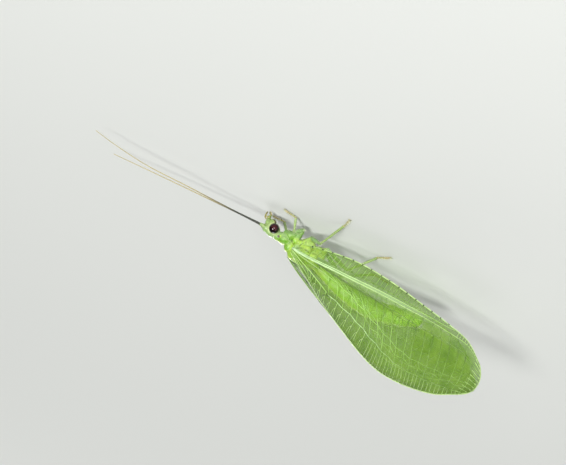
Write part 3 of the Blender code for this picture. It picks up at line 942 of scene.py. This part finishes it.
class WingSheet:
    """A wing's bowed middle surface; s runs from root to tip, t from front to hind edge."""

    def __init__(self, side, folds, root, length, bulge, layer, front_edge, hind_edge):
        self.sign = SIDES[side]
        self.root = root
        self.length = length
        self.front_edge = front_edge
        self.hind_edge = hind_edge
        self.bulge = bulge
        self.layer = layer
        self.folds = folds

    def roof(self, x, z):
        ridge = through(ROOF_RIDGE, x) - self.layer
        share = min(max((z - ROOF_FOOT) / (ridge - ROOF_FOOT), 0.0), 1.0)
        half_width = through(ROOF_HALF_WIDTH, x) - self.layer
        return ROOF_EDGE + (half_width - ROOF_EDGE) * math.sqrt(1.0 - share * share)

    def flat(self, s, t):
        across = through(self.hind_edge, s) * t - through(self.front_edge, s) * (1.0 - t)
        along = s * (self.length - self.bulge + self.bulge * 4.0 * t * (1.0 - t))
        x = self.root[0] - math.cos(WING_TILT) * along + math.sin(WING_TILT) * across
        z = self.root[1] + math.sin(WING_TILT) * along + math.cos(WING_TILT) * across
        return Vector((x, self.sign * self.roof(x, z), z))

    def normal(self, s, t):
        step = 0.012
        along = self.flat(min(s + step, 1.0), t) - self.flat(max(s - step, 0.0), t)
        across = self.flat(s, min(t + step, 1.0)) - self.flat(s, max(t - step, 0.0))
        out = across.cross(along).normalized()
        return out if out.y * self.sign > 0 else -out

    def place(self, s, t):
        """A point on the film, raised along the folds that the main veins make."""
        height = 0.0
        for course, rise in self.folds:
            height += rise * math.exp(-((t - through(course, s)) / FOLD_WIDTH) ** 2)
        return self.flat(s, t) + self.normal(s, t) * height


# Main veins as courses of (s, t), and how many veins each rank has
FOREWING_VEINS = {
    "subcosta": [(0.0, 0.56), (0.08, 0.48), (0.18, 0.4), (0.27, 0.345), (0.36, 0.275),
                 (0.45, 0.21), (0.55, 0.15), (0.65, 0.095), (0.76, 0.05), (0.82, 0.015)],
    "radius": [(0.0, 0.62), (0.08, 0.53), (0.18, 0.445), (0.27, 0.39), (0.36, 0.32),
               (0.45, 0.255), (0.55, 0.195), (0.65, 0.14), (0.76, 0.105), (0.96, 0.05)],
    "sector": [(0.12, 0.52), (0.18, 0.52), (0.27, 0.49), (0.36, 0.43), (0.45, 0.37),
               (0.55, 0.32), (0.7, 0.26), (0.85, 0.22), (1.0, 0.24)],
    "media": [(0.0, 0.7), (0.1, 0.64), (0.2, 0.61), (0.34, 0.61), (0.445, 0.64),
              (0.555, 0.66), (0.645, 0.68), (0.725, 0.68), (0.85, 0.64), (1.0, 0.58)],
    "cubitus": [(0.0, 0.8), (0.1, 0.82), (0.245, 0.865), (0.33, 0.835), (0.42, 0.815), (0.5, 0.82),
                (0.59, 0.83), (0.7, 0.845), (0.84, 0.84), (0.93, 0.83), (1.0, 0.82)],
}
HINDWING_VEINS = {
    "subcosta": [(0.0, 0.5), (0.1, 0.36), (0.4, 0.2), (0.7, 0.08), (0.8, 0.015)],
    "radius": [(0.0, 0.56), (0.1, 0.42), (0.4, 0.26), (0.7, 0.14), (0.96, 0.05)],
    "sector": [(0.1, 0.5), (0.2, 0.48), (0.4, 0.42), (0.7, 0.32), (1.0, 0.26)],
    "media": [(0.0, 0.66), (0.16, 0.62), (0.4, 0.64), (0.7, 0.66), (1.0, 0.6)],
    "cubitus": [(0.0, 0.8), (0.16, 0.8), (0.4, 0.82), (0.7, 0.85), (1.0, 0.84)],
}
FOREWING_RANKS = {"costal": 31, "radial": 17, "branches": 21, "marginal": 25, "tip": 10}
HINDWING_RANKS = {"costal": 22, "radial": 12, "branches": 15, "marginal": 20, "tip": 8}


def spread(values, share):
    """Value at a share of the way along evenly spaced numbers or colours."""
    values = np.array(values, float)
    if len(values) == 1:
        return values[0]
    place = share * (len(values) - 1)
    index = min(int(place), len(values) - 2)
    return values[index] + (values[index + 1] - values[index]) * (place - index)


def vein(sheet, corners, radii, tints):
    """A vein over the sheet through (s, t) corners, as a run of (place, radius, tint)."""
    run = []
    total = len(corners) - 1
    for index, ((s0, t0), (s1, t1)) in enumerate(zip(corners, corners[1:])):
        reach = math.hypot((s1 - s0) * sheet.length, (t1 - t0) * MEAN_WING_DEPTH)
        steps = max(2, int(reach / VEIN_STEP))
        for step in range(steps):
            local = step / steps
            share = (index + local) / total
            place = sheet.place(s0 + (s1 - s0) * local, t0 + (t1 - t0) * local)
            run.append((place, spread(radii, share), spread(tints, share)))
    run.append((sheet.place(*corners[-1]), radii[-1], tints[-1]))
    return run


def along_course(course, low, high, steps):
    """(s, t) corners on a course from low to high."""
    places = [low + (high - low) * step / steps for step in range(steps + 1)]
    return [(s, through(course, s)) for s in places]


# Every plan of a vein is its (s, t) corners, its radii and its tints, both from start to end

# Corners of short veins: a fan at the wing's root, and dark links in its first third
ROOT_FAN = [
    ((0.0, 0.86), (0.2, 1.0)), ((0.0, 0.92), (0.11, 1.0)), ((0.04, 0.93), (0.07, 1.0)),
    ((0.1, 0.82), (0.13, 0.93)), ((0.15, 0.83), (0.155, 0.965)),
]
DARK_LINKS = [
    [(0.12, 0.76), (0.14, 0.8), (0.135, 0.84)], [(0.13, 0.66), (0.15, 0.62), (0.145, 0.56)],
    [(0.235, 0.95), (0.245, 0.9), (0.26, 0.87)],
]


def long_veins(courses):
    """The rim, the veins that run the length of a wing and the short ones near its root."""
    subcosta, radius, sector = courses["subcosta"], courses["radius"], courses["sector"]
    front = [(s, 0.0) for s in np.linspace(0.0, 1.0, 40)]
    hind = [(s, 1.0) for s in np.linspace(0.0, 1.0, 40)]
    outer = [(1.0, t) for t in np.linspace(0.0, 1.0, 14)]
    first = sector[0][0]
    fork = (first - 0.03, through(radius, first - 0.03))
    yield from [
        (front, [0.018, 0.04, 0.048, 0.042, 0.03], [VEIN_GREEN, VEIN_EDGE, VEIN_EDGE, VEIN_EDGE]),
        (hind, [0.02, 0.026, 0.03], [VEIN_EDGE, VEIN_EDGE]),
        (outer, [0.03], [VEIN_EDGE]),
        (along_course(subcosta, 0.0, subcosta[-1][0], 24), [0.036, 0.03, 0.028, 0.022],
         [VEIN_WHITE, VEIN_EDGE, VEIN_GREEN]),
        (along_course(radius, 0.0, radius[-1][0], 28), [0.105, 0.044, 0.032, 0.024, 0.018],
         [VEIN_WHITE, VEIN_EDGE, VEIN_EDGE, VEIN_GREEN]),
        (along_course(sector, first, 1.0, 28), [0.034, 0.028, 0.022, 0.018],
         [VEIN_DARK, VEIN_SHADE, VEIN_SOFT]),
        (along_course(courses["media"], 0.0, 0.24, 8), [0.036, 0.028], [VEIN_EDGE, VEIN_SOFT]),
        (along_course(courses["cubitus"], 0.0, 0.24, 8), [0.036, 0.03], [VEIN_EDGE, VEIN_GREEN]),
        ([fork, sector[0]], [0.03, 0.034], [VEIN_PALE, VEIN_DARK]),
    ]
    for corners in ROOT_FAN:
        yield corners, [0.026, 0.02], [VEIN_GREEN, VEIN_SOFT]
    for corners in DARK_LINKS:
        yield corners, [0.022, 0.026, 0.02], [VEIN_DARK]


# Where the ranks of veins start and how far they reach: s, and t for the tip
COSTAL_START = 0.05
RADIAL_START, RADIAL_SPAN = 0.14, 0.8
MARGINAL_START, MARGINAL_SPAN = 0.13, 0.845
UNFORKED_BEYOND = 0.42
BRANCH_START, BRANCH_SPAN = 0.125, 0.86
TIP_START, TIP_SPAN = 0.06, 0.86
PTEROSTIGMA_RUNGS = 10
TIP_FORK = 0.985


def costal_rungs(courses, count, draw):
    """Crossveins of the front field, then the close pale ones beyond the subcosta."""
    subcosta = courses["subcosta"]
    last = subcosta[-1][0]
    for rung in range(count):
        share = rung / count
        s = COSTAL_START + (last - 0.07) * share + draw.uniform(-0.003, 0.003)
        lean = 0.02 - 0.012 * share
        yield ([(s, through(subcosta, s)), (s + lean, 0.0)], [0.02, 0.016, 0.022],
               [VEIN_DARK, VEIN_SOFT, VEIN_GREEN, VEIN_DARK])
        if rung % 2 == 0:
            yield [(s + lean - 0.003, 0.0), (s + lean + 0.003, 0.0)], [0.056], [VEIN_DARK]
    for rung in range(PTEROSTIGMA_RUNGS):
        s = last + 0.012 + (0.97 - last) * rung / PTEROSTIGMA_RUNGS
        yield [(s, through(courses["radius"], s)), (s + 0.01, 0.0)], [0.014], [VEIN_EDGE]


def radial_rungs(courses, count, draw):
    """Crossveins between the radius and the sector."""
    for rung in range(count):
        s = RADIAL_START + RADIAL_SPAN * rung / count + draw.uniform(-0.004, 0.004)
        foot = s + 0.008
        corners = [(s, through(courses["radius"], s)), (foot, through(courses["sector"], foot))]
        yield corners, [0.02, 0.015], [VEIN_DARK, VEIN_SOFT, VEIN_DARK]


def marginal_veins(courses, count):
    """Forked veins from the cubitus to the hind edge, single ones further out."""
    cubitus = courses["cubitus"]
    spacing = 0.42 * MARGINAL_SPAN / count
    for rung in range(count):
        share = rung / (count - 1)
        s = MARGINAL_START + MARGINAL_SPAN * share
        slant = 0.02 * (1.0 - share) + 0.034 * float(smooth_step(0.3, 0.6, share))
        if share > UNFORKED_BEYOND:
            for turn in (0.0, 1.1):
                start = min(s + turn * spacing, 0.99)
                end = min(start + slant, 0.998)
                yield ([(start, through(cubitus, start)), (end, 1.0)], [0.016, 0.019],
                       [VEIN_SOFT, VEIN_EDGE, VEIN_EDGE])
            continue
        fork = 0.55 - 0.3 * share
        base = through(cubitus, s)
        middle = (s + slant * fork, base + (1.0 - base) * fork)
        yield [(s, base), middle], [0.018], [VEIN_GREEN, VEIN_EDGE]
        for turn in (-0.5, 0.5):
            near = (middle[0] + 0.6 * turn * spacing, middle[1] + (1.0 - middle[1]) * 0.3)
            end = (s + slant + turn * spacing, 1.0)
            yield [middle, near, end], [0.018, 0.016], [VEIN_EDGE, VEIN_EDGE, VEIN_GREEN]


def tip_forks(count):
    """Short veins that fork into the wing's outer rim."""
    for rung in range(count):
        t = TIP_START + TIP_SPAN * rung / count
        start = 0.965 - 0.02 * math.sin(math.pi * t)
        fork = (TIP_FORK, t + 0.012)
        yield [(start, t), fork], [0.016], [VEIN_EDGE]
        for turn in (-0.012, 0.022):
            yield [fork, (1.0, fork[1] + turn)], [0.015], [VEIN_EDGE]


def branches(courses, count):
    """Bent branches from the sector to the cubital line, and the stepped rows that join them."""
    previous = None
    for branch in range(count):
        share = branch / (count - 1)
        sway = (-1) ** branch
        s0 = BRANCH_START + BRANCH_SPAN * share
        drift = 0.085 * (1.0 - share) + 0.012 + 0.028 * math.sin(math.pi * share)
        inner_s = min(s0 + drift * 0.35, 0.993)
        middle_s = min(s0 + drift * 0.8, 0.995)
        outer_s = min(s0 + drift * 1.3, 0.997)
        t_sector = through(courses["sector"], s0)
        t_media = through(courses["media"], middle_s) + 0.008 * sway
        t_cubitus = through(courses["cubitus"], outer_s) + 0.008 * sway
        t_inner = t_sector + (t_media - t_sector) * (0.5 + 0.07 * sway)
        t_outer = t_media + (t_cubitus - t_media) * (0.45 + 0.06 * sway)
        corners = [(s0, t_sector), (inner_s, t_inner), (middle_s, t_media),
                   (0.5 * (middle_s + outer_s), t_outer), (outer_s, t_cubitus)]
        soft = blend_tint(VEIN_GREEN, VEIN_SOFT, (share - 0.35) / 0.3)
        yield corners, [0.017, 0.017, 0.015], [VEIN_DARK, soft, soft, soft]
        if previous is not None:
            _, inner, media, between, cubitus = previous
            bright = blend_tint(VEIN_WHITE, VEIN_SOFT, (share - 0.3) / 0.3)
            calm = blend_tint(VEIN_GREEN, VEIN_SOFT, (share - 0.45) / 0.3)
            if share > 0.12:
                start = (inner[0] * 0.5 + media[0] * 0.5, inner[1] * 0.5 + media[1] * 0.5)
                yield [start, corners[1]], [0.014], [VEIN_DARK, soft, VEIN_DARK]
            yield [media, corners[2]], [0.021 - 0.007 * share], [calm]
            if share > 0.3:
                yield [between, corners[3]], [0.014], [soft]
            yield [cubitus, corners[4]], [0.024 - 0.01 * share], [bright]
        previous = corners


# The wing's places through which the abdomen shows, (s, t)
OVER_ABDOMEN = [(0.0, 0.66), (0.15, 0.66), (0.42, 0.57), (0.55, 0.42), (0.66, 0.27), (1.0, 0.23)]


def film(sheet, courses):
    """The membrane: a thin closed sheet over the wing's whole outline."""
    subcosta, radius = courses["subcosta"], courses["radius"]
    bm = bmesh.new()
    bmesh.ops.create_grid(bm, x_segments=FILM_ROWS, y_segments=FILM_COLUMNS, size=0.5)
    cover = bm.verts.layers.float.new("cover")
    paleness = bm.verts.layers.float.new("paleness")
    for vert in bm.verts:
        s, t = vert.co.x + 0.5, vert.co.y + 0.5
        centre = through(OVER_ABDOMEN, s)
        window = hump(t, centre, 0.17) * smooth_step(0.1, 0.22, s) * smooth_step(0.68, 0.655, s)
        beside = hump(t, centre - 0.19, 0.06) * smooth_step(0.22, 0.34, s) * smooth_step(0.6, 0.52, s)
        behind = hump(t, 0.23, 0.11) * smooth_step(0.645, 0.675, s) * smooth_step(1.0, 0.9, s)
        outer = smooth_step(0.8, 0.95, s)
        full = max(smooth_step(0.03, 0.26, s), smooth_step(0.6, 0.82, t))
        at = min(s, subcosta[-1][0])
        front, back = through(subcosta, at), through(radius, at)
        pale = hump(t, 0.5 * (front + back), 0.7 * (back - front) + 0.01) * smooth_step(0.8, 0.45, s)
        vert[paleness] = 0.5 * pale
        vert[cover] = ((0.2 + 0.8 * full) * (1.12 - 0.36 * window + 0.16 * beside + 0.45 * behind)
                       + 0.5 * pale + 0.12 * outer)
        vert.co = sheet.place(s, t)
    everything = bm.verts[:] + bm.edges[:] + bm.faces[:]
    bmesh.ops.solidify(bm, geom=everything, thickness=MEMBRANE_THICKNESS)
    bmesh.ops.recalc_face_normals(bm, faces=bm.faces)
    return mesh_from(bm, "film")


def fringe(sheet, seed):
    """Fine bristles along the front and hind edges."""
    draw = random.Random(seed)
    runs = []
    roots = []
    for edge, count in ((0.0, FRONT_FRINGE), (1.0, HIND_FRINGE)):
        for index in range(count):
            s = (index + draw.random()) / count
            start = sheet.place(s, edge)
            inner = sheet.place(s, abs(edge - 0.03))
            out = (start - inner).normalized()
            reach = FRINGE_LENGTH + FRINGE_SPREAD * draw.random()
            tip = start + out * reach + Vector((-0.06, 0, 0))
            runs.append([(start, 0.007, VEIN_EDGE), (tip, 0.002, VEIN_EDGE)])
            roots.append(start)
    return runs, roots


WINGS = {"forewing": (FOREWING_VEINS, FOREWING_RANKS), "hindwing": (HINDWING_VEINS, HINDWING_RANKS)}


def wings(films, vein_finish, bristle_finish):
    """Four wings: film and veins on each, and a fringe on the front pair."""
    for order, side in enumerate(SIDES):
        for name, (courses, ranks) in WINGS.items():
            folds = [(courses["radius"], RADIUS_FOLD), (courses["media"], LESSER_FOLD),
                     (courses["cubitus"], LESSER_FOLD)]
            sheet = WingSheet(side, folds, **WING_SHAPES[name])
            node = f"{name}_{side}"
            sail = show(film(sheet, courses), f"{node}_film", films[name], [node])
            sail.visible_shadow = False
            draw = random.Random(VEIN_SEED + order)
            plans = [*long_veins(courses), *costal_rungs(courses, ranks["costal"], draw),
                     *radial_rungs(courses, ranks["radial"], draw),
                     *marginal_veins(courses, ranks["marginal"]), *tip_forks(ranks["tip"]),
                     *branches(courses, ranks["branches"])]
            mesh = tube_runs("veins", [vein(sheet, *plan) for plan in plans])
            show(mesh, f"{node}_veins", vein_finish)
            if name == "forewing":
                runs, roots = fringe(sheet, FRINGE_SEED + order)
                mesh = tube_runs("fringe", runs, rounder=0)
                patch_map(mesh, roots)
                show(mesh, f"{node}_fringe", bristle_finish)


# Bristles on the skin and legs

def sprouts(mesh, count, reach, seed, keep):
    """Short bristles that stand on a mesh, bent towards -X; keep says where they may root."""
    draw = random.Random(seed)
    runs = []
    roots = []
    total = len(mesh.vertices)
    while len(runs) < count:
        vert = mesh.vertices[draw.randrange(total)]
        root = vert.co.copy()
        if not keep(root):
            continue
        out = vert.normal.copy()
        long = reach * draw.uniform(0.6, 1.2)
        bend = Vector((-0.5 * long, 0.0, 0.0))
        middle = root + out * (0.55 * long) + bend * 0.3
        tip = root + out * (0.85 * long) + bend
        if tip.z < BRISTLE_FLOOR_GAP:
            continue
        runs.append([(root - out * 0.01, 0.0065, HAIR_PALE), (middle, 0.005, HAIR_PALE),
                     (tip, 0.0018, HAIR_PALE)])
        roots.append(root)
    return runs, roots


def coat(mesh, name, count, reach, seed, material, keep=lambda root: True):
    """A piece of bristles that stand on the mesh of another piece."""
    runs, roots = sprouts(mesh, count, reach, seed, keep)
    tubes = tube_runs(name, runs, rounder=0)
    patch_map(tubes, roots)
    show(tubes, name, material)


# Stage: lamps by name, place in metres, width and power
LAMPS = {
    "key": ((0.14, -0.28, 0.27), 0.11, 1.95),
    "front": ((0.02, -0.38, 0.06), 0.13, 0.95),
    "fill": ((-0.3, -0.22, 0.16), 0.3, 0.38),
    "back": ((-0.1, 0.3, 0.3), 0.2, 0.6),
    "left": ((0.02, 0.38, 0.06), 0.13, 0.6),
}
LAMP_AIM = (-0.003, 0.0, 0.003)
AIR_STRENGTH = 0.2
FLOOR_HALF_WIDTH = 2.0


def floor():
    bm = bmesh.new()
    bmesh.ops.create_grid(bm, x_segments=1, y_segments=1, size=FLOOR_HALF_WIDTH)
    mesh = mesh_from(bm, "floor")
    material, shader = new_material("pale_floor", FLOOR_GREY, roughness=0.9)
    feed(material, shader, {"Specular IOR Level": 0.1})
    mesh.materials.append(material)
    linked("floor", mesh)


def lights():
    """Soft square lamps aimed at the middle of the animal, in a pale studio."""
    for name, (place, width, power) in LAMPS.items():
        light = bpy.data.lights.new(name, "AREA")
        light.shape = "SQUARE"
        light.size = width
        light.energy = power
        lamp = linked(name, light)
        lamp.location = place
        lamp.rotation_mode = "QUATERNION"
        lamp.rotation_quaternion = (Vector(LAMP_AIM) - Vector(place)).to_track_quat("-Z", "Y")
    world = bpy.data.worlds.new("studio")
    world.use_nodes = True
    air = world.node_tree.nodes["Background"]
    feed(world, air, {"Color": (*STUDIO_AIR, 1.0), "Strength": AIR_STRENGTH})
    bpy.context.scene.world = world
    bpy.context.scene.view_settings.view_transform = "Standard"


def camera():
    """Long lens from the animal's right, rolled so that its head is up to the left."""
    backward, sideways = VIEW_BACKWARD
    rise = Vector((0.0, math.sin(VIEW_ELEVATION), math.cos(VIEW_ELEVATION)))
    ahead = Vector((0.0, math.cos(VIEW_ELEVATION), -math.sin(VIEW_ELEVATION)))
    right = -backward * Vector((1.0, 0.0, 0.0)) + sideways * rise
    up = -sideways * Vector((1.0, 0.0, 0.0)) - backward * rise
    lens = bpy.data.cameras.new("camera")
    lens.sensor_width = SENSOR_WIDTH
    lens.lens = SENSOR_WIDTH * VIEW_DISTANCE / VIEW_WIDTH
    lens.clip_start = 0.01
    lens.clip_end = 10.0
    turn = Matrix((right, up, -ahead)).transposed().to_4x4()
    turn.translation = PLACE @ Vector(VIEW_CENTRE) - ahead * (VIEW_DISTANCE * MM)
    viewer = linked("camera", lens)
    viewer.matrix_world = turn
    bpy.context.scene.camera = viewer


def build():
    camera()
    lights()
    floor()
    skin = skin_material("body_wax", roughness=0.42, scatter=0.35)
    limb_skin = skin_material("limb_wax", roughness=0.45, scatter=0.25)
    bristles = hair_material()
    body_skin(skin, bristles)
    eyes(eye_material())
    feelers(skin_material("feeler_horn", roughness=0.5, scatter=0.05))
    palps(limb_skin)
    legs(limb_skin, bristles)
    films = {name: membrane_material(f"{name}_film", cover) for name, cover in FILM_COVER.items()}
    wings(films, vein_material(), bristles)


build()
